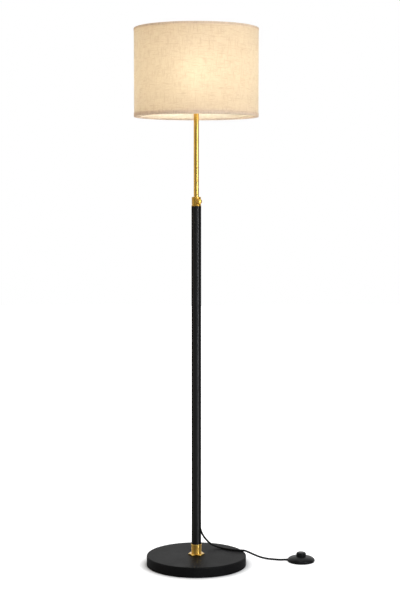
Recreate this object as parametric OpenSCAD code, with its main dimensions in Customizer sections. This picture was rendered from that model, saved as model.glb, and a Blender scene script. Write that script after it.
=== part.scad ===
// Telescopic floor lamp. Sizes in millimetres, +Z up, the camera side is -Y.
// The origin is the centre of the base where it rests on the floor.

/* [Base] */
// Diameter of the base disc
base_d = 250; // [200:5:320]
// Height of the base's top face above the floor
base_h = 25.5; // [23:0.5:34]
// Sheet thickness of the base cover
cover_wall = 1.2; // [0.8:0.1:1.6]
// Radius of the base cover's top edge
base_edge_r = 3; // [2.5:0.5:5]
// Gap between the floor and the lower edge of the base cover
cover_lift = 1; // [0.5:0.25:1.5]
// Thickness of the foam pad under the base
pad_t = 2; // [1.75:0.25:3]
// Width of the cast weight's thick rim
weight_rim_w = 26; // [15:1:36]
// Thickness of the cast weight's web
weight_web_t = 7; // [4:0.5:9]
// Diameter of the cast weight's hub
weight_hub_d = 56; // [48:1:70]

/* [Foot of the pole] */
// Diameter of the threaded hollow stud
stud_d = 10; // [8:0.5:12]
// Bore of the threaded hollow stud
stud_bore_d = 7; // [5:0.5:7.5]
// Width across flats of the nut under the base
nut_af = 17; // [15:0.5:20]
// Thickness of the nut under the base
nut_h = 5; // [4:0.5:6]
// Diameter of the washer under the base
washer_d = 32; // [26:1:38]
// Thickness of the washer under the base
washer_t = 2; // [1.5:0.25:2.5]
// Width across flats of the brass hexagon on the base
hex_af = 36; // [30:1:44]
// Thickness of the brass hexagon
hex_h = 4; // [3:0.5:8]
// Chamfer on the hexagon's top edge
hex_chamfer = 1.2; // [0.5:0.1:1.8]
// Diameter of the ringed coupling sleeve
sleeve_d = 25.4; // [25:0.2:30]
// Visible height of the coupling sleeve
sleeve_h = 23.5; // [16:0.5:34]
// Depth of the sleeve's ring grooves
sleeve_groove = 0.5; // [0.2:0.1:0.8]
// Spacing of the sleeve's ring grooves
sleeve_pitch = 3; // [2.5:0.5:4]

/* [Pole] */
// Outer diameter of the black pole
pole_d = 24; // [22:0.5:24.5]
// Wall of the black pole
pole_wall = 1.2; // [0.8:0.1:1.6]
// Length of the black pole
pole_len = 847.5; // [780:0.5:1000]

/* [Telescope] */
// Outer diameter of the clamp collar
collar_d = 23; // [20:0.5:24]
// Visible height of the clamp collar
collar_h = 22.5; // [20:0.5:30]
// Height of the collar's lower lip
lip_h = 3.2; // [2:0.2:4]
// Length of the collar's spigot inside the pole
spigot_len = 22; // [14:1:34]
// Outer diameter of the brass mast
mast_d = 13; // [12:0.5:14]
// Wall of the brass mast
mast_wall = 1.5; // [1.2:0.1:1.8]
// Mast standing out of the collar in the drawn position
mast_show = 213; // [206:1:300]
// Travel of the mast upwards from the drawn position
travel_up = 200; // [150:5:220]
// Length of the nylon guide on the mast's lower end
guide_len = 30; // [20:1:40]
// Diameter of the thumb screw's knob
knob_d = 12.5; // [10:0.5:16]
// Length of the thumb screw's knob
knob_len = 11.4; // [8:0.2:16]
// Diameter of the thumb screw's shank
screw_d = 5; // [4:0.5:6]
// Direction of the thumb screw, turned from the front towards the right
screw_turn = 20; // [0:5:60]

/* [Lampholder and bulb] */
// Outer diameter of the lampholder
holder_d = 39.2; // [39:0.2:42]
// Height of the seat that carries the shade, above the mast's top
seat_h = 32; // [30:0.5:36]
// Diameter of the bulb's globe
bulb_d = 60; // [50:1:80]
// Overall length of the bulb
bulb_len = 107; // [100:1:130]

/* [Shade] */
// Outer diameter of the shade's fabric
shade_d = 305; // [240:5:420]
// Height of the shade over its bindings
shade_h = 215; // [170:5:300]
// Thickness of the shade's fabric
fabric_t = 0.6; // [0.4:0.1:1]
// Thickness of the stiff liner behind the fabric
liner_t = 0.4; // [0.3:0.1:0.8]
// Wire diameter of the shade's rings and arms
wire_d = 3.2; // [2.4:0.2:4]
// Drop from the shade carrier's plate to the bottom ring
carrier_drop = 47.5; // [30:0.5:60]
// Thickness of the bindings on the shade's edges
trim_t = 0.5; // [0.3:0.1:0.8]
// Height of the bottom binding on the outside
bottom_trim_h = 9; // [6:0.5:14]
// Height of the top binding on the outside
top_trim_h = 5.5; // [5:0.5:12]
// Width of the glued seam down the back of the shade
seam_w = 12; // [8:1:20]

/* [Foot switch] */
// Diameter of the foot switch
switch_d = 69.6; // [64:0.4:80]
// Height of the foot switch's cover
switch_h = 15.5; // [14:0.5:17]
// Wall of the foot switch's cover
switch_wall = 2; // [1.6:0.1:2.4]
// Diameter of the foot switch's button
button_d = 24.4; // [22:0.2:27]
// Height of the button's top above the floor
button_top = 24.4; // [23.4:0.2:30]
// Thickness of the foot switch's bottom plate
switch_plate_t = 2.2; // [2:0.1:2.6]

/* [Hidden] */
$fn = 96;

// Clearances
thread_gap = 0.05;      // radial, between a plain shank and its threaded hole
slide_gap = 0.06;       // radial, mast in the collar's bore
guide_gap = 0.08;       // radial, nylon guide in the pole
loose_gap = 0.3;        // radial, pieces that are only located
skin_gap = 0.05;        // between layers of the shade
stop_gap = 1;           // left between the guide's upper clip and the spigot at full reach
cut = 1;                // overrun of a cutting tool

// Base
base_r = base_d / 2;
cover_under = base_h - cover_wall;
stud_r = stud_d / 2;
stud_tail = 2.5;
nut_z = pad_t + stud_tail;
washer_z = nut_z + nut_h;
hub_seat_z = washer_z + washer_t;
stud_z = pad_t + 1;
stud_grip = 16;

// Pole
hex_z = base_h;
sleeve_z = hex_z + hex_h;
pole_z = sleeve_z + sleeve_h;
pole_r = pole_d / 2;
pole_ir = pole_r - pole_wall;
pole_top = pole_z + pole_len;
sleeve_spigot_len = 28;
spigot_r = pole_ir - thread_gap;
stud_top = sleeve_z + stud_grip;

// Telescope
mast_r = mast_d / 2;
mast_ir = mast_r - mast_wall;
collar_top = pole_top + collar_h;
spigot_z = pole_top - spigot_len;
screw_z = pole_top + collar_h / 2;
mast_top = collar_top + mast_show;
clip_t = 1.2;
clip_seat = 2.8;        // from the mast's lower end to its lower clip
mast_z = spigot_z - travel_up - stop_gap - clip_seat - 2 * clip_t - guide_len;
guide_z = mast_z + clip_seat + clip_t;
groove_depth = 0.5;
knob_neck = 2;

// Leads
cord_d = 5;             // mains cord
cord_r = cord_d / 2;
exit_z = 118;           // height of the cord's way out of the pole
lead_tail = 12;         // lead hanging out of the mast's lower end
lead_turns = 10;
lead_steps = 8;         // rings in one turn of the slack lead
relief_len = 21;
relief_flange_r = 6;
relief_shank_r = 4;

// Lampholder and bulb
holder_r = holder_d / 2;
holder_wall = 2;
cap_neck_h = 3;
cap_dome_h = 7;
cap_h = 22;
cap_floor = 5;
nipple_down = 12;
nipple_up = cap_floor + 4;
nipple_r = mast_ir - thread_gap;
nipple_bore_r = cord_r + 0.7;
block_z = mast_top + cap_neck_h + cap_dome_h;
block_h = 6;
block_top = block_z + block_h;
skirt_z = mast_top + cap_h;
seat_z = mast_top + seat_h;
bulb_z = block_top + 4;
bulb_cap_h = 27;
bulb_wall = 0.6;        // wall of the bulb's metal cap
skirt_top = bulb_z + bulb_cap_h + 1.5;
screw_crest_r = 13.2;
screw_depth = 0.9;
screw_pitch = 3.6;
screw_z0 = bulb_z + 4;
screw_turns = 5;
shell_t = 0.4;
shell_gap = 0.35;
bulb_r = bulb_d / 2;
bulb_centre_z = bulb_z + bulb_len - bulb_r;
neck_r = 13.8;
glass_t = 1;

// Shade
shade_r = shade_d / 2;
plate_t = 1.5;
plate_r = 30;
tongue_w = 7;
tongue_len = 7;
arm_rise = 3.7;         // each arm's end above the ring, over the binding's lap
carrier_z = seat_z;
wire_r = wire_d / 2;
ring_z = carrier_z - carrier_drop;
shade_z = ring_z - wire_r - trim_t - skin_gap;
shade_top = shade_z + shade_h;
fabric_ir = shade_r - fabric_t;
liner_r = fabric_ir - skin_gap;
liner_ir = liner_r - liner_t;
ring_r = liner_ir - wire_r - skin_gap;
trim_lap = 4.5;         // height of a binding on the inside
ring_nut_r = 28;
ring_nut_h = 6;

// Foot switch
switch_x = 265.5;
switch_y = 27.5;
switch_turn = -4;
switch_r = switch_d / 2;
belt_z = 3.5;           // height of the cover's widest line
switch_lift = 0.6;      // cover's lower edge above the floor
cover_power = 2.3;      // roundness of the cover's outline
button_r = button_d / 2;
button_gap = 0.4;
button_wall = 1.8;
press = 3;
button_flange_h = 2;
button_flange_r = button_r + 3;
flange_z = switch_plate_t + press + 0.8;
guide_ring_z = flange_z + button_flange_h + loose_gap;
block_side = 13;
switch_block_top = 11;
stem_r = 2.2;
post_r = 3;
post_at = switch_r - 12.6;
post_angles = [0, 120, 240];
screw_r = 1.4;
screw_head_r = 2.7;
screw_head_h = 1.2;
cord_entry_z = 4.2;
switch_relief_r = 3;
switch_relief_out = 2.2;

// The cord's route, from the tip of the strain relief to the foot switch
CORD_ROUTE = [
    [0, 33, 118], [0, 38, 118], [0.4, 44.5, 117], [1.4, 50.3, 114], [2.8, 55, 109.3],
    [4.4, 58.2, 103.3], [6.3, 60, 94], [8.8, 60.5, 82], [12.9, 60.5, 68], [18.5, 61, 57],
    [25.8, 61.5, 47.4],
    [35.5, 63, 37.6], [46, 63.5, 31.8], [56, 60.5, 29], [66, 55, 28.1], [77, 46.5, 28.1],
    [90.5, 38.5, 28.1], [102, 33.8, 28.1], [111, 31, 28.1], [118.5, 30, 28.1], [124.5, 30.1, 26.9],
    [134, 31.5, 22.6], [145, 34, 17], [156, 37, 11.6], [167, 39.5, 7.3], [178.5, 41, 4.4],
    [190, 40.5, 3.1], [202, 38, 2.7], [212, 34.6, 2.9], [218, 32, 3.6], [223.6, 30.4, 4.2],
    [228.55, 30.05, 4.2]];

// ---- shared shapes ----

// A straight tube standing on z
module tube(r, ir, z, h)
    translate([0, 0, z])
        difference() {
            cylinder(r = r, h = h);
            translate([0, 0, -cut]) cylinder(r = ir, h = h + 2 * cut);
        }

// A hexagonal prism by its width across flats, corners on the X axis
module hex_prism(af, z, h)
    translate([0, 0, z]) cylinder(r = af / sqrt(3), h = h, $fn = 6);

// A quarter of a flat ring in the first quadrant
module quarter_ring(r, ir)
    intersection() {
        difference() {
            circle(r = r);
            circle(r = ir);
        }
        square(r);
    }

// A wire ring lying flat at height z
module wire_ring(r, z)
    translate([0, 0, z]) rotate_extrude($fn = 180) translate([r, 0]) circle(r = wire_r, $fn = 24);

// Unit vector, and the direction of a route at point i
function unit(v) = v / norm(v);
function way(p, i) = unit(p[min(i + 1, len(p) - 1)] - p[max(i - 1, 0)]);

// Side vector carried along a route, square to its direction at each point
function square_to(v, t) = unit(v - (v * t) * t);
function sides(p, start) = [
    for (i = 0, v = square_to(start, way(p, 0)); i < len(p);
         i = i + 1, v = i < len(p) ? square_to(v, way(p, i)) : v) v];

// A closed tube of radius r along the points of p
module swept_tube(p, r, n, start) {
    side = sides(p, start);
    points = [
        for (i = [0 : len(p) - 1])
            let (t = way(p, i), u = side[i], w = cross(t, u))
                for (k = [0 : n - 1])
                    let (a = 360 * (k + 0.5) / n) p[i] + r * (cos(a) * u + sin(a) * w)];
    last = (len(p) - 1) * n;
    walls = [
        for (i = [0 : len(p) - 2], k = [0 : n - 1])
            let (a = i * n + k, b = i * n + (k + 1) % n)
                each [[a, a + n, b + n], [a, b + n, b]]];
    ends = [
        for (k = [1 : n - 2])
            each [[0, k, k + 1], [last, last + k + 1, last + k]]];
    polyhedron(points = points, faces = concat(walls, ends));
}

// ---- base ----

// Foam pad that the lamp stands on
module base_pad()
    color("#2b2b2b")
        cylinder(r = base_r - cover_wall - loose_gap, h = pad_t, $fn = 180);

// Cast disc with a thick rim, a thin web, ribs and a hub that takes the stud
module base_weight() {
    out_r = base_r - cover_wall - loose_gap;
    rim_ir = out_r - weight_rim_w;
    hub_r = weight_hub_d / 2;
    web_z = cover_under - weight_web_t;
    bevel = base_edge_r;
    rib_t = 6;
    rib_count = 6;
    color("#4a4a4c")
        difference() {
            union() {
                rotate_extrude($fn = 180)
                    polygon([
                        [0, cover_under], [0, pad_t], [hub_r, pad_t], [hub_r, web_z],
                        [rim_ir, web_z], [rim_ir, pad_t], [out_r, pad_t],
                        [out_r, cover_under - bevel], [out_r - bevel, cover_under]]);
                for (i = [0 : rib_count - 1])
                    rotate([0, 0, 360 * i / rib_count])
                        translate([hub_r - cut, -rib_t / 2, pad_t + 3])
                            cube([rim_ir - hub_r + 2 * cut, rib_t, web_z - pad_t - 3 + cut]);
            }
            translate([0, 0, -cut]) cylinder(r = washer_d / 2 + 1, h = hub_seat_z + cut);
            cylinder(r = stud_r + loose_gap, h = base_h);
        }
}

// Spun sheet cover with a rolled top edge
module base_cover()
    color("#1d1d1e")
        rotate_extrude($fn = 180) {
            translate([stud_r + loose_gap, cover_under])
                square([base_r - base_edge_r - stud_r - loose_gap, cover_wall]);
            translate([base_r - base_edge_r, base_h - base_edge_r])
                quarter_ring(base_edge_r, base_edge_r - cover_wall);
            translate([base_r - cover_wall, cover_lift])
                square([cover_wall, base_h - base_edge_r - cover_lift]);
        }

// Hollow threaded stud that ties the base to the coupling sleeve
module base_stud()
    color("silver")
        tube(stud_r, stud_bore_d / 2, stud_z, stud_top - stud_z);

module base_washer()
    color("silver")
        tube(washer_d / 2, stud_r + loose_gap, washer_z, washer_t);

module base_nut()
    color("silver")
        difference() {
            intersection() {
                hex_prism(nut_af, nut_z, nut_h);
                translate([0, 0, nut_z])
                    cylinder(r1 = nut_af / 2 + 0.2, r2 = nut_af / 2 + 0.2 + nut_h, h = nut_h);
            }
            translate([0, 0, nut_z - cut])
                cylinder(r = stud_r + thread_gap, h = nut_h + 2 * cut);
        }

// ---- foot of the pole ----

// Brass hexagon on the base, its top edge turned to a chamfer
module hex_flange()
    color("#c9962c")
        difference() {
            intersection() {
                hex_prism(hex_af, hex_z, hex_h);
                rotate_extrude()
                    polygon([
                        [0, hex_z], [hex_af / sqrt(3), hex_z],
                        [hex_af / sqrt(3), hex_z + hex_h - hex_chamfer - 0.9],
                        [hex_af / 2 - 0.6, hex_z + hex_h], [0, hex_z + hex_h]]);
            }
            translate([0, 0, hex_z - cut])
                cylinder(r = stud_r + thread_gap, h = hex_h + 2 * cut);
        }

// Ringed brass sleeve whose spigot carries the pole
module coupling_sleeve() {
    r = sleeve_d / 2;
    lip_r = r + 0.5;
    top_lip = 3;
    groove_w = 0.8;
    rings = floor((sleeve_h - top_lip - 3) / sleeve_pitch);
    color("#c9962c")
        rotate_extrude()
            polygon(concat(
                [[stud_r + thread_gap, sleeve_z], [r - 0.4, sleeve_z], [r, sleeve_z + 0.4]],
                [for (i = [1 : rings])
                    let (z = sleeve_z + i * sleeve_pitch)
                        each [[r, z - groove_w / 2], [r - sleeve_groove, z], [r, z + groove_w / 2]]],
                [[r, pole_z - top_lip], [lip_r, pole_z - top_lip + 0.6],
                 [lip_r, pole_z - 0.8], [lip_r - 0.7, pole_z], [spigot_r, pole_z],
                 [spigot_r, pole_z + sleeve_spigot_len - 1],
                 [spigot_r - 1, pole_z + sleeve_spigot_len],
                 [stud_r + thread_gap, pole_z + sleeve_spigot_len]]));
}

// Black pole with the cord's hole in its back
module lower_pole()
    color("#1d1d1e")
        difference() {
            tube(pole_r, pole_ir, pole_z, pole_len);
            translate([0, 0, exit_z])
                rotate([-90, 0, 0])
                    cylinder(r = relief_shank_r + 0.1, h = pole_r + cut, $fn = 48);
        }

// Moulded strain relief: shank in the pole, saddle flange, ribbed taper
module cord_relief() {
    tip = pole_r + relief_len;
    flange_t = 1.8;
    root_r = 4.6;
    tip_r = 3.4;
    ribs = 5;
    rib_w = 1.6;
    taper_y = pole_r + flange_t;
    rib_step = (tip - taper_y) / (ribs + 1);
    color("#202021")
        translate([0, 0, exit_z])
            rotate([-90, 0, 0]) {
                translate([0, 0, pole_ir - 0.6])
                    cylinder(r = relief_shank_r, h = pole_wall + 1.2, $fn = 48);
                difference() {
                    translate([0, 0, pole_r - 2])
                        cylinder(r = relief_flange_r, h = flange_t + 2, $fn = 48);
                    rotate([90, 0, 0])
                        translate([0, 0, -relief_flange_r - cut])
                            cylinder(r = pole_r + skin_gap, h = 2 * (relief_flange_r + cut));
                }
                difference() {
                    translate([0, 0, taper_y - 0.2])
                        cylinder(r1 = root_r, r2 = tip_r, h = tip - taper_y + 0.2, $fn = 48);
                    for (i = [1 : ribs])
                        let (y = taper_y + i * rib_step - rib_w / 2)
                            tube(root_r + cut, tip_r - 0.5, y, rib_w, $fn = 48);
                }
            }
}

// Slack lead inside the pole: a loose spiral that opens as the mast rises
module pole_lead() {
    wind_r = pole_ir - cord_r - 0.8;
    start_z = exit_z + 22;
    end_z = mast_z - lead_tail;
    spiral_h = end_z - start_z - 10;
    steps = lead_turns * lead_steps;
    spiral = [
        for (i = [0 : steps])
            let (
                f = i / steps,
                r = wind_r * min(1, (1 - f) * lead_turns),
                a = 360 * lead_turns * f - 90)
                [r * cos(a), r * sin(a), start_z + spiral_h * f]];
    entry = [
        [0, pole_ir - 0.6, exit_z], [0, pole_ir - 0.6 - cord_d, exit_z],
        [0, wind_r * 0.1, exit_z + 2.5], [0, -wind_r * 0.5, exit_z + 8],
        [0, -wind_r * 0.9, exit_z + 15]];
    leave = [[0, 0, end_z - cord_d], [0, 0, end_z]];
    color("#202021")
        swept_tube(concat(entry, spiral, leave), cord_r, 8, [1, 0, 0]);
}

// ---- telescope ----

// Brass collar with a spigot in the pole, the mast's bore and the screw's hole
module clamp_collar() {
    r = collar_d / 2;
    bore_r = mast_r + slide_gap;
    color("#c9962c")
        difference() {
            rotate_extrude()
                polygon([
                    [bore_r, spigot_z], [spigot_r - 0.8, spigot_z], [spigot_r, spigot_z + 0.8],
                    [spigot_r, pole_top], [pole_r, pole_top], [pole_r, pole_top + lip_h - 0.6],
                    [pole_r - 0.6, pole_top + lip_h], [r - 0.6, pole_top + lip_h],
                    [r - 0.6, pole_top + lip_h + 1], [r, pole_top + lip_h + 1.6],
                    [r, collar_top - 1], [r - 1, collar_top], [bore_r + 0.6, collar_top],
                    [bore_r, collar_top - 0.6]]);
            translate([0, 0, screw_z])
                rotate([90, 0, screw_turn])
                    cylinder(r = screw_d / 2 + thread_gap, h = collar_d, $fn = 48);
        }
}

// Thumb screw: shank that bears on the mast, neck and knurled knob
module clamp_screw() {
    r = knob_d / 2;
    tip = mast_r + slide_gap;
    neck_at = collar_d / 2 + 0.3;
    knob_at = neck_at + knob_neck;
    knurl_r = 0.55;
    knurls = 24;
    color("#c9962c")
        translate([0, 0, screw_z])
            rotate([90, 0, screw_turn])
                difference() {
                    rotate_extrude($fn = 64)
                        polygon([
                            [0, tip], [screw_d / 2 - 0.6, tip], [screw_d / 2, tip + 0.6],
                            [screw_d / 2, neck_at], [r * 0.66, neck_at], [r * 0.66, knob_at],
                            [r - 0.7, knob_at], [r, knob_at + 0.7],
                            [r, knob_at + knob_len - 1.4], [r - 0.5, knob_at + knob_len - 0.6],
                            [r - 1.6, knob_at + knob_len], [r * 0.4, knob_at + knob_len + 0.5],
                            [0, knob_at + knob_len + 0.6]]);
                    for (i = [0 : knurls - 1])
                        rotate([0, 0, 360 * i / knurls])
                            translate([r + 0.15, 0, knob_at + 1.2])
                                cylinder(r = knurl_r, h = knob_len - 3.4, $fn = 16);
                }
}

// Nylon guide with two lands and four grooves for air
module mast_guide() {
    r = pole_ir - guide_gap;
    land = 7;
    waist_r = r - 1;
    grooves = 4;
    color("#e8e4da")
        difference() {
            translate([0, 0, guide_z])
                rotate_extrude()
                    polygon([
                        [mast_r + slide_gap, 0], [r - 0.6, 0], [r, 0.6], [r, land],
                        [waist_r, land + 1], [waist_r, guide_len - land - 1],
                        [r, guide_len - land], [r, guide_len - 0.6], [r - 0.6, guide_len],
                        [mast_r + slide_gap, guide_len]]);
            for (i = [0 : grooves - 1])
                rotate([0, 0, 360 * i / grooves + 45])
                    translate([r + 0.4, 0, guide_z - cut])
                        cylinder(r = 1.4, h = guide_len + 2 * cut, $fn = 32);
        }
}

// Two open retaining rings, below and above the guide
module mast_clips() {
    r = mast_r + 1.8;
    gap_w = mast_r;
    color("silver")
        for (z = [guide_z - clip_t, guide_z + guide_len])
            difference() {
                tube(r, mast_r - groove_depth + thread_gap, z, clip_t);
                translate([0, -gap_w / 2, z - cut]) cube([r + cut, gap_w, clip_t + 2 * cut]);
            }
}

// Brass mast with the grooves for its clips
module mast_tube()
    color("#c9962c")
        difference() {
            tube(mast_r, mast_ir, mast_z, mast_top - mast_z);
            for (z = [guide_z - clip_t, guide_z + guide_len])
                tube(mast_r + cut, mast_r - groove_depth, z, clip_t);
        }

// Lead inside the mast, from below its end to the lampholder's block
module mast_lead()
    color("#202021")
        translate([0, 0, mast_z - lead_tail])
            cylinder(r = cord_r, h = block_z - mast_z + lead_tail, $fn = 32);

// ---- lampholder ----

module mast_nipple()
    color("silver")
        tube(nipple_r, nipple_bore_r, mast_top - nipple_down, nipple_down + nipple_up);

module nipple_nut()
    color("silver")
        difference() {
            hex_prism(2 * nipple_r + 4, mast_top + cap_floor, 3);
            translate([0, 0, mast_top + cap_floor - cut])
                cylinder(r = nipple_r + thread_gap, h = 3 + 2 * cut);
        }

// Lower cap of the lampholder
module holder_cap() {
    r = holder_r + 0.6;
    neck = mast_r + 2.5;
    color("#26221f")
        translate([0, 0, mast_top])
            rotate_extrude()
                polygon([
                    [nipple_r + thread_gap, 0], [neck - 0.6, 0], [neck, 0.6], [neck, cap_neck_h],
                    [r - 4.5, cap_neck_h + cap_dome_h * 0.45], [r - 1.2, cap_neck_h + cap_dome_h * 0.8],
                    [r, cap_neck_h + cap_dome_h + 1.5], [r, cap_h],
                    [r - holder_wall, cap_h], [r - holder_wall, cap_neck_h + cap_dome_h],
                    [r - holder_wall - 3.4, cap_floor + 1.8], [r - holder_wall - 7, cap_floor],
                    [nipple_r + thread_gap, cap_floor]]);
}

// Contact block inside the lampholder, with the lead's two wire holes
module holder_block() {
    r = holder_r + 0.6 - holder_wall - loose_gap;
    color("#e9e6df")
        difference() {
            translate([0, 0, block_z]) cylinder(r = r, h = block_h);
            for (s = [-1, 1])
                translate([s * r * 0.6, 0, block_z - cut])
                    cylinder(r = 1.5, h = block_h + 2 * cut, $fn = 32);
        }
}

// Bent spring tongue that meets the bulb's centre contact
module holder_contact() {
    t = 0.5;
    width = 5;
    reach = 8;
    rise = bulb_z - block_top;
    color("#c9a24a")
        translate([0, width / 2, block_top])
            rotate([90, 0, 0])
                linear_extrude(width)
                    polygon([
                        [-reach, 0], [-reach, t], [-reach / 2, t], [-1.5, rise - 0.1], [2.5, rise - 0.1],
                        [3.5, rise - 0.8], [3.1, rise - 1.2], [2.2, rise - 0.1 - t],
                        [-1.3, rise - 0.1 - t], [-reach / 2 + 0.3, 0]]);
}

// One rolled screw profile, r at the crests, between two heights
function screw_wave(r) = [
    for (i = [0 : 4 * screw_turns])
        [r - screw_depth * (0.5 + 0.5 * cos(90 * i)), screw_z0 + screw_pitch * i / 4]];

// Rolled brass shell that takes the bulb's screw
module holder_shell() {
    inner = screw_wave(screw_crest_r + shell_gap);
    foot_r = screw_crest_r + shell_gap;
    top_z = screw_z0 + screw_turns * screw_pitch + 2;
    color("#d8b25a")
        rotate_extrude($fn = 64)
            polygon(concat(
                [[foot_r, block_top + 0.2]], inner, [[foot_r, top_z]],
                [[foot_r + shell_t, top_z]],
                [for (i = [len(inner) - 1 : -1 : 0]) inner[i] + [shell_t, 0]],
                [[foot_r + shell_t, block_top + 0.2]]));
}

// Threaded skirt of the lampholder with the seat for the shade
module holder_skirt() {
    r = holder_r;
    ir = screw_crest_r + shell_gap + shell_t + 0.6;
    tail_r = holder_r + 0.6 - holder_wall - thread_gap;
    seat_r = r + 2.4;
    ring_pitch = 2;
    ring_depth = 0.6;
    mouth = 1.8;
    rings = floor((skirt_top - seat_z - 3) / ring_pitch);
    color("#26221f")
        rotate_extrude()
            polygon(concat(
                [[ir, block_top + 0.1], [tail_r, block_top + 0.1], [tail_r, skirt_z], [r, skirt_z],
                 [r, seat_z - 4], [seat_r, seat_z - 3], [seat_r, seat_z], [r - ring_depth, seat_z]],
                [for (i = [0 : rings - 1])
                    let (z = seat_z + 1 + i * ring_pitch)
                        each [[r - ring_depth, z], [r, z + ring_pitch * 0.4],
                              [r, z + ring_pitch * 0.6], [r - ring_depth, z + ring_pitch]]],
                [[r - ring_depth, skirt_top - 0.6], [r - ring_depth - 0.6, skirt_top],
                 [ir + mouth, skirt_top], [ir, skirt_top - mouth - 1]]));
}

// Knurled ring that clamps the shade carrier on the lampholder's seat
module shade_ring_nut() {
    z = carrier_z + plate_t;
    notches = 24;
    color("#26221f")
        difference() {
            rotate_extrude()
                polygon([
                    [holder_r + loose_gap / 2, z], [ring_nut_r, z], [ring_nut_r, z + 2.2],
                    [ring_nut_r - 4, z + 3.4], [holder_r + 3.4, z + ring_nut_h],
                    [holder_r + loose_gap / 2, z + ring_nut_h]]);
            for (i = [0 : notches - 1])
                rotate([0, 0, 360 * i / notches])
                    translate([ring_nut_r + 0.6, 0, z - cut])
                        cylinder(r = 1.2, h = 3.4 + cut, $fn = 16);
        }
}

// ---- bulb ----

// Metal screw cap with its centre contact
module bulb_cap() {
    wave = screw_wave(screw_crest_r);
    hollow_r = screw_crest_r - screw_depth - bulb_wall;
    top_z = bulb_z + bulb_cap_h;
    color("#b9b6ac")
        rotate_extrude($fn = 64)
            polygon(concat(
                [[0, bulb_z], [3.6, bulb_z], [4.6, bulb_z + 0.8], [5.4, bulb_z + 1],
                 [9.6, bulb_z + 3], [wave[0][0], screw_z0 - 0.4]],
                wave,
                [[screw_crest_r, top_z - 3.4], [screw_crest_r, top_z - 0.6],
                 [screw_crest_r - 0.5, top_z], [hollow_r, top_z], [hollow_r, screw_z0],
                 [9.6 - bulb_wall, bulb_z + 3 + bulb_wall], [0, bulb_z + 3 + bulb_wall]]));
}

// Pear-shaped glass: a globe with a straight neck tangent to it
module bulb_glass() {
    neck_z = bulb_z + bulb_cap_h;
    drop = bulb_centre_z - neck_z;
    reach = norm([neck_r, drop]);
    tangent = acos(bulb_r / reach) - atan2(drop, neck_r);
    color("#fff3d2")
        difference() {
            union() {
                translate([0, 0, bulb_centre_z]) sphere(r = bulb_r);
                translate([0, 0, neck_z])
                    cylinder(r1 = neck_r, r2 = bulb_r * cos(tangent),
                             h = drop + bulb_r * sin(tangent));
            }
            translate([0, 0, bulb_centre_z]) sphere(r = bulb_r - glass_t);
            translate([0, 0, neck_z - cut])
                cylinder(r1 = neck_r - glass_t, r2 = bulb_r * cos(tangent) - glass_t,
                         h = drop + bulb_r * sin(tangent) + cut);
        }
}

// ---- shade ----

// One arm of the carrier: a tongue of the plate, a sloping wire on it, and a post on the ring
module carrier_arm() {
    root = plate_r + 1;
    run = ring_r - root;
    drop = plate_t / 2 + carrier_z - ring_z - arm_rise;
    translate([plate_r - 2, -tongue_w / 2, carrier_z])
        cube([tongue_len + 2, tongue_w, plate_t]);
    translate([root, 0, carrier_z + plate_t / 2])
        rotate([0, 90 + atan2(drop, run), 0])
            cylinder(r = wire_r, h = norm([run, drop]) + 0.9, $fn = 24);
    translate([ring_r, 0, ring_z + 0.4])
        cylinder(r = wire_r - 0.3, h = arm_rise - 0.4, $fn = 24);
}

// Plate with three tongues, their arms and the bottom ring, welded together
module shade_carrier()
    color("#d9d6cf") {
        tube(plate_r, holder_r + 0.5, carrier_z, plate_t);
        wire_ring(ring_r, ring_z);
        for (a = [90, 210, 330]) rotate([0, 0, a]) carrier_arm();
    }

module shade_top_wire()
    color("#d9d6cf")
        wire_ring(ring_r, shade_top - trim_t - skin_gap - wire_r);

// Stiff translucent liner
module shade_liner()
    color("#fbf3dc")
        tube(liner_r, liner_ir, shade_z + trim_t + skin_gap,
             shade_h - 2 * (trim_t + skin_gap), $fn = 180);

// Linen drum with its glued seam at the back
module shade_fabric()
    color("#e9d9bd") {
        tube(shade_r, fabric_ir, shade_z + trim_t + skin_gap,
             shade_h - 2 * (trim_t + skin_gap), $fn = 180);
        intersection() {
            tube(shade_r + fabric_t * 0.7, shade_r - fabric_t * 0.3, shade_z + bottom_trim_h + 0.2,
                 shade_h - bottom_trim_h - top_trim_h - 0.4, $fn = 180);
            translate([-seam_w / 2, 0, shade_z]) cube([seam_w, shade_r + 5, shade_h]);
        }
    }

// A folded binding that wraps an edge; h is its height outside
module binding(h) {
    out_r = shade_r + skin_gap + trim_t;
    in_r = ring_r - wire_r - skin_gap - trim_t;
    fold = trim_t + 0.6;
    rotate_extrude($fn = 180)
        polygon([
            [in_r + fold, 0], [out_r - fold, 0], [out_r - 0.2 * fold, 0.3 * fold], [out_r, fold],
            [out_r, h], [out_r - trim_t, h], [out_r - trim_t, trim_t], [in_r + trim_t, trim_t],
            [in_r + trim_t, trim_lap], [in_r, trim_lap], [in_r, fold], [in_r + 0.2 * fold, 0.3 * fold]]);
}

module shade_top_trim()
    color("#b5a58f")
        translate([0, 0, shade_top]) mirror([0, 0, 1]) binding(top_trim_h);

module shade_bottom_trim()
    color("#b5a58f")
        translate([0, 0, shade_z]) binding(bottom_trim_h);

// ---- foot switch ----

module at_switch()
    translate([switch_x, switch_y, 0]) rotate([0, 0, switch_turn]) children();

// Outline of the cover's dome for half-width r and height h over the belt line
function dome(r, h, inner, steps) = [
    for (i = [0 : steps])
        let (x = inner + (r - inner) * sin(90 * (1 - i / steps)))
            [x, belt_z + h * pow(max(0, 1 - pow(x / r, cover_power)), 1 / cover_power)]];

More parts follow.
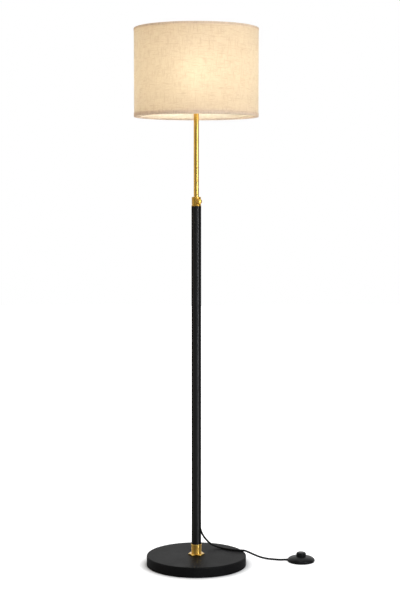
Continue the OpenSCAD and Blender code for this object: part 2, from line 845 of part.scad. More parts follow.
// Bottom plate with the countersunk screw holes and the cord's groove
module switch_plate() {
    r = switch_r - 3.6;
    at_switch()
        color("#202021")
            difference() {
                cylinder(r = r, h = switch_plate_t);
                for (a = post_angles)
                    rotate([0, 0, a])
                        translate([post_at, 0, -cut]) {
                            cylinder(r = screw_head_r + 0.2, h = cut + screw_head_h, $fn = 32);
                            cylinder(r = screw_r + 0.1, h = cut * 2 + switch_plate_t, $fn = 32);
                        }
                translate([-switch_r, 0, cord_entry_z])
                    rotate([0, 90, 0])
                        cylinder(r = switch_relief_r + 0.1, h = 12, $fn = 48);
            }
}

// Moulded dome with the button's guide ring, screw posts and the cord's notch
module switch_cover() {
    hole_r = button_r + button_gap;
    ring_r2 = hole_r + 1.6;
    inner_r = switch_r - switch_wall;
    h = switch_h - belt_z;
    steps = 10;
    outer = dome(switch_r, h, hole_r, steps);
    under = dome(inner_r, h - switch_wall + 0.3, hole_r, steps);
    low_r = switch_r - 1.4;
    at_switch()
        color("#202021")
            difference() {
                union() {
                    rotate_extrude()
                        polygon(concat(
                            [[low_r - switch_wall, switch_lift], [low_r, switch_lift],
                             [switch_r - 0.4, belt_z - 1.4]],
                            outer,
                            [for (i = [steps : -1 : 0]) under[i]]));
                    tube(ring_r2, hole_r, guide_ring_z, switch_h - guide_ring_z - 1);
                    intersection() {
                        for (a = post_angles)
                            rotate([0, 0, a])
                                translate([post_at, 0, switch_plate_t])
                                    cylinder(r = post_r, h = switch_h, $fn = 32);
                        rotate_extrude()
                            polygon(concat(
                                [[0, 0], [switch_r - 1, 0]],
                                dome(switch_r - 1, h - 1, 0, steps)));
                    }
                }
                for (a = post_angles)
                    rotate([0, 0, a])
                        translate([post_at, 0, 0])
                            cylinder(r = screw_r + thread_gap, h = switch_plate_t + 4.5, $fn = 32);
                translate([-switch_r - cut, 0, cord_entry_z])
                    rotate([0, 90, 0])
                        cylinder(r = switch_relief_r + 0.1, h = 8, $fn = 48);
            }
}

// Push button: rounded cap, hollow skirt with a retaining flange, and a stem
module switch_button() {
    r = button_r;
    ir = button_r - button_wall;
    edge = 2.2;
    roof = button_top - 2;
    at_switch()
        color("#232324")
            rotate_extrude()
                polygon([
                    [0, button_top], [r - edge - 2, button_top - 0.1], [r - edge, button_top - 0.4],
                    [r - edge * 0.35, button_top - edge * 0.6], [r, button_top - edge * 1.3],
                    [r, flange_z + button_flange_h], [button_flange_r, flange_z + button_flange_h],
                    [button_flange_r, flange_z], [ir, flange_z], [ir, roof], [stem_r, roof],
                    [stem_r, switch_block_top - 2], [0, switch_block_top - 2]]);
}

// Return spring between the contact block and the button's roof
module switch_spring() {
    wire = 0.45;
    coil_r = 4.6;
    turns = 5;
    steps = 12;
    low = switch_block_top + wire + 0.05;
    high = button_top - 2 - wire - 0.05;
    points = [
        for (i = [0 : turns * steps])
            let (a = 360 * i / steps, f = i / (turns * steps))
                [coil_r * cos(a), coil_r * sin(a), low + (high - low) * f]];
    at_switch()
        color("silver")
            swept_tube(points, wire, 6, [0, 0, 1]);
}

// Contact block with the stem's well and two terminals
module switch_block()
    at_switch()
        color("#d8d5cc")
            difference() {
                translate([-block_side / 2, -block_side / 2, switch_plate_t])
                    cube([block_side, block_side, switch_block_top - switch_plate_t]);
                translate([0, 0, switch_plate_t + 1.5])
                    cylinder(r = stem_r + loose_gap, h = switch_block_top, $fn = 48);
            }

// Three screws that hold the bottom plate to the cover
module switch_screws()
    at_switch()
        color("silver")
            for (a = post_angles)
                rotate([0, 0, a])
                    translate([post_at, 0, 0]) {
                        translate([0, 0, 0.2])
                            cylinder(r = screw_head_r, h = screw_head_h - 0.2, $fn = 32);
                        translate([0, 0, 0.2])
                            cylinder(r = screw_r, h = switch_plate_t + 3.6, $fn = 32);
                    }

// Rubber bush that the cord enters by, with a flange behind the cover's wall
module switch_relief() {
    flange_x = switch_r - switch_wall - 2.2;
    at_switch()
        color("#202021")
            translate([0, 0, cord_entry_z])
                rotate([0, -90, 0])
                    translate([0, 0, flange_x])
                        cylinder(r = switch_relief_r, h = switch_r + switch_relief_out - flange_x,
                                 $fn = 48);
}

// The free cord between the pole and the foot switch
module lead_cord()
    color("#202021")
        swept_tube(CORD_ROUTE, cord_r, 10, [1, 0, 0]);

base_pad();
base_weight();
base_cover();
base_stud();
base_washer();
base_nut();
hex_flange();
coupling_sleeve();
lower_pole();
cord_relief();
pole_lead();
clamp_collar();
clamp_screw();
mast_guide();
mast_clips();
mast_tube();
mast_lead();
mast_nipple();
nipple_nut();
holder_cap();
holder_block();
holder_contact();
holder_shell();
holder_skirt();
shade_ring_nut();
bulb_cap();
bulb_glass();
shade_carrier();
shade_top_wire();
shade_liner();
shade_fabric();
shade_top_trim();
shade_bottom_trim();
switch_plate();
switch_cover();
switch_button();
switch_spring();
switch_block();
switch_screws();
switch_relief();
lead_cord();
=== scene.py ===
"""Dresses the telescopic floor lamp: linen shade, brass and black metal, lead and foot switch."""
import math

import bmesh
import bpy
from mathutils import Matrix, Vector


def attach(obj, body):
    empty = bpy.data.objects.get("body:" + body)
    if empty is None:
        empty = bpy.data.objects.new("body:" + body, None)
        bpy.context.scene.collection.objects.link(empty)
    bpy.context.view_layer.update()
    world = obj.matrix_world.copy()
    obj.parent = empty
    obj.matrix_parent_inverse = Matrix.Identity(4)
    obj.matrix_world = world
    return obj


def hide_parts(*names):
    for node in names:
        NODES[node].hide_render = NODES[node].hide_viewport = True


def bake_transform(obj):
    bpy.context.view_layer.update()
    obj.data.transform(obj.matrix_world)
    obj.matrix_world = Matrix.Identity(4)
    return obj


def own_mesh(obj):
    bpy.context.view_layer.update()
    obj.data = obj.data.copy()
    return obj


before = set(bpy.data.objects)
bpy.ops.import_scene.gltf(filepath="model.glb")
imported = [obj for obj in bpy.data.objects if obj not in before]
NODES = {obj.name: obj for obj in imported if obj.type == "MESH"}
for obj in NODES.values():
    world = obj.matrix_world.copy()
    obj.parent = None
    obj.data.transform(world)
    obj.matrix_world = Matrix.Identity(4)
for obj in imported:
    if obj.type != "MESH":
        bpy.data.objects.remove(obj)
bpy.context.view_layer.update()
SCENE = bpy.context.scene

# ---------------------------------------------------------------- camera

CAMERA_AT = (0.0091, -3.4203, 0.9324)
CAMERA_DOWN_DEG = 4.423
CAMERA_LENS_MM = 82.97
CAMERA_SENSOR_MM = 36

eye = bpy.data.objects.new("camera", bpy.data.cameras.new("camera"))
SCENE.collection.objects.link(eye)
eye.location = CAMERA_AT
eye.rotation_euler = (math.radians(90 - CAMERA_DOWN_DEG), 0, 0)
eye.data.sensor_width = CAMERA_SENSOR_MM
eye.data.lens = CAMERA_LENS_MM
SCENE.camera = eye

# ---------------------------------------------------------------- node trees

WHITE = (1, 1, 1, 1)
BLACK = (0, 0, 0, 1)


def rgba(colour):
    """A colour of three numbers as its socket takes it. A socket stays as it is."""
    return (*colour, 1) if isinstance(colour, tuple) else colour


class Tree:
    """A node tree, with short calls for making its nodes and filling their inputs."""

    def __init__(self, tree):
        self.tree = tree

    def node(self, kind, inputs=(), **values):
        """A new node with its properties set to values and its inputs filled."""
        made = self.tree.nodes.new(kind)
        for key, value in values.items():
            setattr(made, key, value)
        for key, value in dict(inputs).items():
            self.wire(value, made.inputs[key])
        return made

    def wire(self, value, socket):
        """Links an output to the socket, or sets the socket's value. None leaves it as it is."""
        if isinstance(value, bpy.types.NodeSocket):
            self.tree.links.new(value, socket)
        elif value is not None:
            socket.default_value = value

    def math(self, operation, a, b=None, clamp=False):
        made = self.node("ShaderNodeMath", {0: a, 1: b}, operation=operation, use_clamp=clamp)
        return made.outputs[0]

    def mix(self, share, first, second):
        return self.node("ShaderNodeMixShader", {0: share, 1: first, 2: second}).outputs[0]


class Finish(Tree):
    """One material's node tree."""

    def __init__(self, name):
        self.mat = bpy.data.materials.new(name)
        self.mat.use_nodes = True
        super().__init__(self.mat.node_tree)
        self.tree.nodes.clear()
        self.out = self.node("ShaderNodeOutputMaterial")

    def place(self, source="Object", scale=(1, 1, 1)):
        """A pattern's coordinates in the piece's own space or its UV map, stretched by scale."""
        where = self.node("ShaderNodeTexCoord").outputs[source]
        return self.node("ShaderNodeMapping", {"Vector": where, "Scale": scale}).outputs["Vector"]

    def noise(self, where, scale, detail=2.0, roughness=0.5):
        made = self.node("ShaderNodeTexNoise", {"Vector": where, "Scale": scale, "Detail": detail,
                                                "Roughness": roughness})
        return made.outputs["Fac"]

    def spread(self, value, low, high, to_low=0.0, to_high=1.0):
        """value from low to high taken to to_low to to_high."""
        made = self.node("ShaderNodeMapRange", {"Value": value, "From Min": low, "From Max": high,
                                                "To Min": to_low, "To Max": to_high})
        return made.outputs["Result"]

    def blend(self, share, first, second):
        """A colour between first and second."""
        made = self.node("ShaderNodeMix", {0: share, 6: rgba(first), 7: rgba(second)},
                         data_type="RGBA")
        return made.outputs[2]

    def bump(self, height, strength, distance):
        made = self.node("ShaderNodeBump", {"Height": height, "Strength": strength,
                                            "Distance": distance})
        return made.outputs["Normal"]

    def shader(self, colour, roughness, metallic=0.0, normal=None, **more):
        inputs = {"Base Color": rgba(colour), "Roughness": roughness, "Metallic": metallic,
                  "Normal": normal}
        inputs.update((name.replace("_", " "), value) for name, value in more.items())
        return self.node("ShaderNodeBsdfPrincipled", inputs).outputs[0]

    def done(self, surface):
        self.wire(surface, self.out.inputs["Surface"])
        return self.mat


# ---------------------------------------------------------------- metal, plastic and foam

PLAIN_UNEVEN = 0.06


def plain_finish(name, colour, worn, roughness, metallic=0.0, cloud=30, grain=900, relief=0.05,
                 depth=0.0002, **more):
    """A finish with slow clouds in its colour and fine grain in its roughness and relief.

    cloud and grain say how often they repeat in a metre. worn is the colour inside a cloud.
    """
    n = Finish(name)
    where = n.place()
    clouds = n.noise(where, scale=cloud, detail=3)
    fine = n.noise(where, scale=grain, detail=2)
    tint = n.blend(n.spread(clouds, low=0.35, high=0.7), colour, worn)
    rough = n.spread(n.math("ADD", clouds, fine), low=0.6, high=1.4,
                     to_low=roughness - PLAIN_UNEVEN, to_high=roughness + PLAIN_UNEVEN)
    return n.done(n.shader(tint, rough, metallic, n.bump(fine, relief, depth), **more))


def upright_streak(n):
    """What spreads a vertical cylinder's highlight into a streak along its axis."""
    round_it = n.node("ShaderNodeTangent", direction_type="RADIAL", axis="Z")
    return {"Tangent": round_it.outputs[0], "Anisotropic": 0.95, "Anisotropic_Rotation": 0.25}


BRASS = (0.80, 0.49, 0.085)
BRASS_DEEP = (0.68, 0.39, 0.05)
TURNED_LINES = (60, 60, 900)
DRAWN_LINES = (700, 700, 6)
POLISHED_LINES = (220, 220, 500)


def brass_finish(name, along, roughness, relief=0.006, turned=False, light=BRASS,
                 deep=BRASS_DEEP):
    """Lacquered brass with the faint lines left along a drawn tube or round a turned piece."""
    n = Finish(name)
    lines = n.noise(n.place(scale=along), scale=1.0, detail=3, roughness=0.6)
    clouds = n.noise(n.place(), scale=45, detail=2)
    tint = n.blend(n.spread(n.math("ADD", lines, clouds), low=0.75, high=1.3), light, deep)
    rough = n.spread(lines, low=0.3, high=0.7, to_low=roughness - 0.03, to_high=roughness + 0.04)
    relief_lines = n.bump(lines, strength=relief, distance=0.0001)
    streak = upright_streak(n) if turned else {}
    return n.done(n.shader(tint, rough, metallic=1.0, normal=relief_lines, Coat_Weight=0.3,
                           Coat_Roughness=0.1, **streak))


PEEL_DEPTH = 0.00015


def powder_coat(name, grain, satin, shine=None):
    """Fine black powder coat: orange-peel relief, satin sheen and a little dust in its colour.

    Without a shine it mirrors the same small share from every side, so a thin pole's edges
    stay dark.
    """
    n = Finish(name)
    where = n.place()
    peel = n.noise(where, scale=grain, detail=3, roughness=0.6)
    clouds = n.noise(where, scale=18, detail=4)
    dust = n.noise(where, scale=260, detail=2)
    speck = n.spread(n.math("ADD", clouds, dust), low=0.85, high=1.35)
    rough = n.spread(n.math("ADD", peel, clouds), low=0.7, high=1.3, to_low=satin - 0.04,
                     to_high=satin + 0.06)
    if shine is None:
        tint = n.blend(speck, (0.037, 0.037, 0.038), (0.045, 0.045, 0.046))
        relief = n.bump(peel, strength=0.03, distance=PEEL_DEPTH)
        return n.done(n.shader(tint, rough, metallic=1.0, normal=relief, Specular_Tint=BLACK,
                               **upright_streak(n)))
    tint = n.blend(speck, (0.0035, 0.0035, 0.0037), (0.007, 0.007, 0.0074))
    relief = n.bump(peel, strength=0.25, distance=PEEL_DEPTH)
    return n.done(n.shader(tint, rough, metallic=0.0, normal=relief, Specular_IOR_Level=shine))


# ---------------------------------------------------------------- shade and bulb

LINEN_LIT, LINEN_DARK = (0.65, 0.51, 0.435), (0.54, 0.40, 0.325)
# Painted glow: emission colours of the outer cloth, for thin and thick thread, standing in for the
# bulb's light spread in the cloth
PAINTED_GLOW_THIN, PAINTED_GLOW_THICK = (0.25, 0.085, 0.0), (0.20, 0.06, 0.0)
THROUGH_LIT, THROUGH_DARK = (0.91, 0.96, 0.88), (0.77, 0.77, 0.68)
LINEN_THROUGH = 0.55
GLEAM_LIT, GLEAM_DARK = (0.95, 0.93, 0.78), (0.75, 0.68, 0.5)
GLEAM_SHARE = 0.06
LINEN_THREAD = 0.00095
TAPE_THREAD = 0.0007
# Painted glow: emission colours of the tape, for thin and thick thread
TAPE_PAINTED_GLOW_THIN, TAPE_PAINTED_GLOW_THICK = (0.13, 0.07, 0.01), (0.1, 0.05, 0.0)
TAPE_THROUGH_LIT, TAPE_THROUGH_DARK = (0.95, 0.85, 0.75), (0.76, 0.66, 0.56)
TAPE_THROUGH = 0.35
# How often the cloth's noises repeat in a metre, across and up
WANDER = (90, 90, 1)
WEFT_SLUBS, WARP_SLUBS, SHORT_SLUBS = (45, 310, 1), (330, 38, 1), (100, 210, 1)
LINEN_MOTTLE, TAPE_MOTTLE = (55, 55, 1), (160, 160, 1)
# How far the threads wander, in radians of their own pitch, and what each part adds in height
WANDER_ACROSS, WANDER_UP = 1.6, 1.1
THREAD_RISE, OVER_RISE, SLUB_RISE = 0.5, 0.2, 0.6
LINER_CLEAR = 0.6
BULB_STRENGTH = 19.0


def weave(n, pitch):
    """(height, share of thick thread) of a plain slubby weave on a UV map in metres."""
    uv = n.node("ShaderNodeSeparateXYZ", {0: n.place("UV")})
    wander = n.noise(n.place("UV", WANDER), scale=1.0, detail=1)
    across = n.math("ADD", n.math("MULTIPLY", uv.outputs[0], math.pi / pitch),
                    n.math("MULTIPLY", wander, WANDER_ACROSS))
    up = n.math("ADD", n.math("MULTIPLY", uv.outputs[1], math.pi / pitch),
                n.math("MULTIPLY", wander, WANDER_UP))
    warp, weft = n.math("SINE", across), n.math("SINE", up)
    over = n.math("MULTIPLY", warp, weft)
    threads = n.math("MAXIMUM", n.math("ABSOLUTE", warp), n.math("ABSOLUTE", weft))
    weft_slub = n.noise(n.place("UV", WEFT_SLUBS), scale=1.0, detail=2, roughness=0.55)
    warp_slub = n.noise(n.place("UV", WARP_SLUBS), scale=1.0, detail=2, roughness=0.55)
    short_slub = n.noise(n.place("UV", SHORT_SLUBS), scale=1.0, detail=2, roughness=0.6)
    slub = n.math("MAXIMUM", n.spread(weft_slub, low=0.52, high=0.72),
                  n.spread(warp_slub, low=0.52, high=0.72))
    slub = n.math("MAXIMUM", slub, n.spread(short_slub, low=0.55, high=0.8))
    height = n.math("ADD", n.math("MULTIPLY", threads, THREAD_RISE),
                    n.math("MULTIPLY", over, OVER_RISE))
    height = n.math("ADD", height, n.math("MULTIPLY", slub, SLUB_RISE))
    return height, slub


def open_but_seen(n, surface, share):
    """surface to the camera, and see-through by share to every other ray."""
    path = n.node("ShaderNodeLightPath")
    clear = n.node("ShaderNodeBsdfTransparent", {"Color": (1, 0.97, 0.9, 1)})
    unseen = n.math("SUBTRACT", 1.0, path.outputs["Is Camera Ray"])
    return n.mix(n.math("MULTIPLY", unseen, share), surface, clear.outputs[0])


def linen(name, outside=True):
    """Linen laminated on the shade's liner.

    It lets the light behind it through, more where its threads are thin, and its outer side has a
    painted glow of its own. The inner side is open to every ray but the camera's, so that the
    bulb's light reaches the outer side.
    """
    n = Finish(name)
    height, slub = weave(n, LINEN_THREAD)
    mottle = n.noise(n.place("UV", LINEN_MOTTLE), scale=1.0, detail=4, roughness=0.6)
    share = n.math("ADD", n.math("MULTIPLY", slub, 0.75),
                   n.spread(mottle, low=0.35, high=0.75, to_high=0.35), clamp=True)
    normal = n.bump(height, strength=0.5, distance=0.0004)
    cloth = n.shader(n.blend(share, LINEN_LIT, LINEN_DARK), roughness=0.85, normal=normal,
                     Sheen_Weight=0.5, Specular_IOR_Level=0.2,
                     # Painted glow: a constant emission, a little more where the threads are thin
                     Emission_Color=n.blend(share, PAINTED_GLOW_THIN, PAINTED_GLOW_THICK),
                     Emission_Strength=1.0 if outside else 0.0)
    glow = n.node("ShaderNodeBsdfTranslucent",
                  {"Color": n.blend(share, THROUGH_LIT, THROUGH_DARK), "Normal": normal})
    body = n.mix(LINEN_THROUGH, cloth, glow.outputs[0])
    if not outside:
        return n.done(open_but_seen(n, body, 1.0))
    gleam = n.node("ShaderNodeBsdfRefraction", {"Color": n.blend(share, GLEAM_LIT, GLEAM_DARK),
                                                "Roughness": 1.0, "IOR": 1.35})
    return n.done(n.mix(GLEAM_SHARE, body, gleam.outputs[0]))


def styrene():
    """Stiff translucent liner: warm white, faintly mottled and glossy."""
    n = Finish("styrene_liner")
    mottle = n.noise(n.place(), scale=120, detail=3)
    tint = n.blend(n.spread(mottle, low=0.3, high=0.7), (0.75, 0.69, 0.55), (0.69, 0.62, 0.48))
    rough = n.spread(mottle, low=0.3, high=0.7, to_low=0.38, to_high=0.5)
    sheet = n.shader(tint, rough, normal=n.bump(mottle, strength=0.05, distance=0.0002))
    return n.done(open_but_seen(n, sheet, LINER_CLEAR))


def tape(name, light, dark):
    """Folded linen tape with a finer weave and a painted glow of its own."""
    n = Finish(name)
    height, slub = weave(n, TAPE_THREAD)
    mottle = n.noise(n.place("UV", TAPE_MOTTLE), scale=1.0, detail=3)
    share = n.math("ADD", n.math("MULTIPLY", slub, 0.6),
                   n.spread(mottle, low=0.35, high=0.7, to_high=0.5), clamp=True)
    cloth = n.shader(n.blend(share, light, dark), roughness=0.9,
                     normal=n.bump(height, strength=0.5, distance=0.0003),
                     Sheen_Weight=0.1, Specular_IOR_Level=0.2,
                     # Painted glow: a constant emission on the tape
                     Emission_Color=n.blend(share, TAPE_PAINTED_GLOW_THIN, TAPE_PAINTED_GLOW_THICK),
                     Emission_Strength=1.0)
    glow = n.node("ShaderNodeBsdfTranslucent",
                  {"Color": n.blend(share, TAPE_THROUGH_LIT, TAPE_THROUGH_DARK)})
    return n.done(n.mix(TAPE_THROUGH, cloth, glow.outputs[0]))


def lit_glass():
    """Frosted bulb, lit."""
    n = Finish("frosted_bulb")
    frost = n.noise(n.place(), scale=200, detail=2)
    tint = n.blend(n.spread(frost, low=0.3, high=0.7), (0.95, 0.93, 0.86), (0.88, 0.85, 0.76))
    rough = n.spread(frost, low=0.3, high=0.7, to_low=0.5, to_high=0.62)
    return n.done(n.shader(tint, rough, Emission_Color=(1.0, 0.98, 0.95, 1),
                           Emission_Strength=BULB_STRENGTH))


# ---------------------------------------------------------------- finishes of the CAD nodes

M = {
    "powder_pole": powder_coat("powder_coat_pole", grain=1500, satin=0.36),
    "powder_base": powder_coat("powder_coat_base", grain=1100, satin=0.5, shine=0.08),
    "brass_tube": brass_finish("brass_drawn", DRAWN_LINES, roughness=0.27,
                               light=(0.93, 0.61, 0.15), deep=(0.84, 0.53, 0.11)),
    "brass_collar": brass_finish("brass_turned_collar", TURNED_LINES, roughness=0.42,
                                 relief=0.015, turned=True),
    # Lighter brass on the foot sleeve: partly a brighter polish, partly painted light making up
    # for the dark base it mirrors
    "brass_foot": brass_finish("brass_turned_foot", TURNED_LINES, roughness=0.38, relief=0.015,
                               turned=True, light=(0.95, 0.64, 0.16), deep=(0.85, 0.52, 0.1)),
    "brass_hexagon": brass_finish("brass_polished", POLISHED_LINES, roughness=0.2,
                                  light=(0.88, 0.58, 0.13)),
    "iron": plain_finish("cast_iron", (0.05, 0.05, 0.052), (0.09, 0.088, 0.085),
                         roughness=0.75, grain=500, relief=0.6, depth=0.0006),
    "foam": plain_finish("cell_foam", (0.02, 0.02, 0.021), (0.032, 0.032, 0.034),
                         roughness=0.92, grain=1400, relief=0.8, depth=0.0004),
    "zinc": plain_finish("zinc_plate", (0.62, 0.62, 0.6), (0.5, 0.5, 0.47),
                         roughness=0.34, metallic=1.0, grain=700),
    "nylon": plain_finish("nylon", (0.78, 0.76, 0.68), (0.72, 0.69, 0.6), roughness=0.45),
    "pvc": plain_finish("cord_pvc", (0.006, 0.006, 0.0063), (0.010, 0.010, 0.0105),
                        roughness=0.42, cloud=60, grain=2200, relief=0.12,
                        Specular_IOR_Level=0.15),
    "phenolic": plain_finish("phenolic", (0.016, 0.012, 0.009), (0.024, 0.018, 0.014),
                             roughness=0.24, cloud=80),
    "urea": plain_finish("urea_resin", (0.74, 0.71, 0.64), (0.68, 0.64, 0.56), roughness=0.5),
    "contact": plain_finish("contact_brass", (0.82, 0.6, 0.25), (0.68, 0.46, 0.17),
                            roughness=0.3, metallic=1.0),
    "enamel": plain_finish("white_enamel", (0.80, 0.78, 0.72), (0.74, 0.71, 0.63),
                           roughness=0.35, cloud=90),
    "nickel": plain_finish("bulb_cap_metal", (0.66, 0.65, 0.6), (0.55, 0.53, 0.48),
                           roughness=0.28, metallic=1.0),
    "switch": plain_finish("switch_moulding", (0.004, 0.004, 0.0043), (0.008, 0.008, 0.0084),
                           roughness=0.34, cloud=70, grain=1800, relief=0.1,
                           Specular_IOR_Level=0.15),
    "bulb": lit_glass(),
    "linen": linen("linen_outside"),
    "linen_inside": linen("linen_inside", outside=False),
    "styrene": styrene(),
    "tape": tape("binding_tape", (0.68, 0.61, 0.54), (0.50, 0.44, 0.38)),
}

DRESS = {
    "powder_pole": ["lower_pole"],
    "powder_base": ["base_cover"],
    "iron": ["base_weight"],
    "zinc": ["base_stud", "base_washer", "base_nut", "mast_clips", "mast_nipple", "nipple_nut",
             "switch_spring", "switch_screws"],
    "brass_collar": ["clamp_collar", "clamp_screw"],
    "brass_foot": ["coupling_sleeve"],
    "brass_hexagon": ["hex_flange"],
    "brass_tube": ["mast_tube"],
    "nylon": ["mast_guide"],
    "pvc": ["cord_relief", "pole_lead", "mast_lead", "switch_relief"],
    "phenolic": ["holder_cap", "holder_skirt", "shade_ring_nut"],
    "urea": ["holder_block", "switch_block"],
    "contact": ["holder_contact", "holder_shell"],
    "nickel": ["bulb_cap"],
    "bulb": ["bulb_glass"],
    "enamel": ["shade_carrier", "shade_top_wire"],
    "switch": ["switch_plate", "switch_cover", "switch_button"],
}
for finish_name, dressed in DRESS.items():
    for node_name in dressed:
        mesh = NODES[node_name].data
        mesh.materials.clear()
        mesh.materials.append(M[finish_name])

# ---------------------------------------------------------------- helpers for new pieces


def piece(name, mesh, body, stands_for, materials=()):
    """A finished mesh as a piece that rides on body and stands for a CAD node."""
    made = bpy.data.objects.new(name, mesh)
    SCENE.collection.objects.link(made)
    for material in materials:
        mesh.materials.append(material)
    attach(made, body)
    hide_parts(stands_for)
    return made


def own_copy(name, node_name, material):
    """A CAD node's shape as a piece of its own, with its own copy of the mesh."""
    node = NODES[node_name]
    mesh = node.data.copy()
    mesh.name = name
    mesh.materials.clear()
    mesh.materials.append(material)
    made = bpy.data.objects.new(name, mesh)
    SCENE.collection.objects.link(made)
    made.matrix_world = node.matrix_world.copy()
    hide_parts(node_name)
    return made


def set_outwards(mesh):
    """Turns a closed mesh's faces outwards."""
    shell = bmesh.new()
    shell.from_mesh(mesh)
    bmesh.ops.recalc_face_normals(shell, faces=shell.faces)
    shell.to_mesh(mesh)
    shell.free()


def turned_skin(name, loop, steps, swell=None):
    """A closed outline of (radius, height) points turned round Z, with a UV map in metres."""
    count = len(loop)
    mean_r = sum(r for r, _ in loop) / count
    run = [0.0]
    for i in range(count):
        run.append(run[-1] + math.dist(loop[i], loop[(i + 1) % count]))
    verts = []
    for s in range(steps):
        turn = 2 * math.pi * s / steps
        grown = swell(turn) if swell else 0.0
        for r, z in loop:
            r += grown
            verts.append((r * math.cos(turn), r * math.sin(turn), z))
    faces, uvs = [], []
    for s in range(steps):
        u0, u1 = (2 * math.pi * mean_r * t / steps for t in (s, s + 1))
        here, there = s * count, ((s + 1) % steps) * count
        for k in range(count):
            after = (k + 1) % count
            faces.append((here + k, there + k, there + after, here + after))
            uvs += [(u0, run[k]), (u1, run[k]), (u1, run[k + 1]), (u0, run[k + 1])]
    mesh = bpy.data.meshes.new(name)
    mesh.from_pydata(verts, [], faces)
    layer = mesh.uv_layers.new(name="UVMap")
    layer.data.foreach_set("uv", [x for uv in uvs for x in uv])
    set_outwards(mesh)
    mesh.shade_smooth()
    return mesh


class Grow(Tree):
    """A geometry node tree with named inputs, made in code."""

    def __init__(self, name, inputs):
        super().__init__(bpy.data.node_groups.new(name, "GeometryNodeTree"))
        face = self.tree.interface
        self.values = {}
        for label, kind, value in inputs:
            socket = face.new_socket(name=label, in_out="INPUT", socket_type=f"NodeSocket{kind}")
            self.values[socket.identifier] = value
        face.new_socket(name="Geometry", in_out="OUTPUT", socket_type="NodeSocketGeometry")
        self.start = self.node("NodeGroupInput")
        self.end = self.node("NodeGroupOutput")

    def get(self, label):
        return self.start.outputs[label]

    def xyz(self, x, y, z=None):
        return self.node("ShaderNodeCombineXYZ", {0: x, 1: y, 2: z}).outputs[0]

    def store(self, geometry, name, value, data_type, domain):
        """The geometry with value kept on it under a name."""
        made = self.node("GeometryNodeStoreNamedAttribute",
                         {"Geometry": geometry, "Name": name, "Value": value},
                         data_type=data_type, domain=domain)
        return made.outputs[0]

    def stored(self, name, data_type):
        made = self.node("GeometryNodeInputNamedAttribute", {"Name": name}, data_type=data_type)
        return made.outputs[0]

    def mesh(self, name):
        """Runs the tree and returns its result as a plain mesh."""
        host = bpy.data.objects.new(name, bpy.data.meshes.new(name))
        SCENE.collection.objects.link(host)
        modifier = host.modifiers.new("grow", "NODES")
        modifier.node_group = self.tree
        for identifier, value in self.values.items():
            modifier[identifier] = value
        graph = bpy.context.evaluated_depsgraph_get()
        made = bpy.data.meshes.new_from_object(host.evaluated_get(graph),
                                               preserve_all_data_layers=True, depsgraph=graph)
        host.modifiers.remove(modifier)
        bpy.data.objects.remove(host)
        made.name = name
        return made


# ---------------------------------------------------------------- cord

CORD_D = 0.005
CORD_ROUTE_MM = [
    (0, 33, 118), (0, 38, 118), (0.4, 44.5, 117), (1.4, 50.3, 114), (2.8, 55, 109.3),
    (4.4, 58.2, 103.3), (6.3, 60, 94), (8.8, 60.5, 82), (12.9, 60.5, 68), (18.5, 61, 57),
    (25.8, 61.5, 47.4), (35.5, 63, 37.6), (46, 63.5, 31.8), (56, 60.5, 29), (66, 55, 28.1),
    (77, 46.5, 28.1), (90.5, 38.5, 28.1), (102, 33.8, 28.1), (111, 31, 28.1), (118.5, 30, 28.1),
    (124.5, 30.1, 26.9), (134, 31.5, 22.6), (145, 34, 17), (156, 37, 11.6), (167, 39.5, 7.3),
    (178.5, 41, 4.4), (190, 40.5, 3.1), (202, 38, 2.7), (212, 34.6, 2.9), (218, 32, 3.6),
    (223.6, 30.4, 4.2), (228.55, 30.05, 4.2),
]
CORD_STEPS_PER_SPAN = 6
CORD_BEVEL_STEPS = 6


def smooth_route(points, per_span):
    """The route as a smooth line through its points."""
    ends = [points[0] * 2 - points[1], *points, points[-1] * 2 - points[-2]]
    line = []
    for a, b, c, d in zip(ends, ends[1:], ends[2:], ends[3:]):
        for k in range(per_span):
            t = k / per_span
            line.append(0.5 * (2 * b + (c - a) * t + (2 * a - 5 * b + 4 * c - d) * t * t
                               + (3 * b - a - 3 * c + d) * t ** 3))
    return [*line, points[-1]]


route = smooth_route([Vector(p) / 1000 for p in CORD_ROUTE_MM], CORD_STEPS_PER_SPAN)
flex_curve = bpy.data.curves.new("lead_flex", "CURVE")
flex_curve.dimensions = "3D"
flex_curve.bevel_depth = CORD_D / 2
flex_curve.bevel_resolution = CORD_BEVEL_STEPS
flex_curve.use_fill_caps = True
spline = flex_curve.splines.new("POLY")
spline.points.add(len(route) - 1)
for point, at in zip(spline.points, route):
    point.co = (*at, 1)
flex_curve.materials.append(M["pvc"])
flex = bpy.data.objects.new("lead_flex", flex_curve)
SCENE.collection.objects.link(flex)
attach(flex, "stand")
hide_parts("lead_cord")

# The spring under the foot switch's button, which flattens as the button is pressed, as a piece
# with its own mesh
spring = own_copy("return_spring", "switch_spring", M["zinc"])
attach(spring, "stand")
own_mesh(spring)

# The slack lead in the pole, which winds closer as the mast comes down and opens as it rises, as a
# piece of its own with its placing baked in
slack = own_copy("slack_lead", "pole_lead", M["pvc"])
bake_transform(slack)

# ---------------------------------------------------------------- shade

SHADE_R = 0.1525
CLOTH_T = 0.0006
CLOTH_Z = 1.1189
CLOTH_TOP = 1.3328
CLOTH_RIPPLE = 0.00012
RIPPLE_SCALE = 6.0
CLOTH_COLUMNS, CLOTH_ROWS = 541, 25
LAP = 0.012
LAP_RISE = 0.0004
LAP_RAMP = 0.003
LAP_MIDDLE = math.pi / 2
WELD = 1e-6


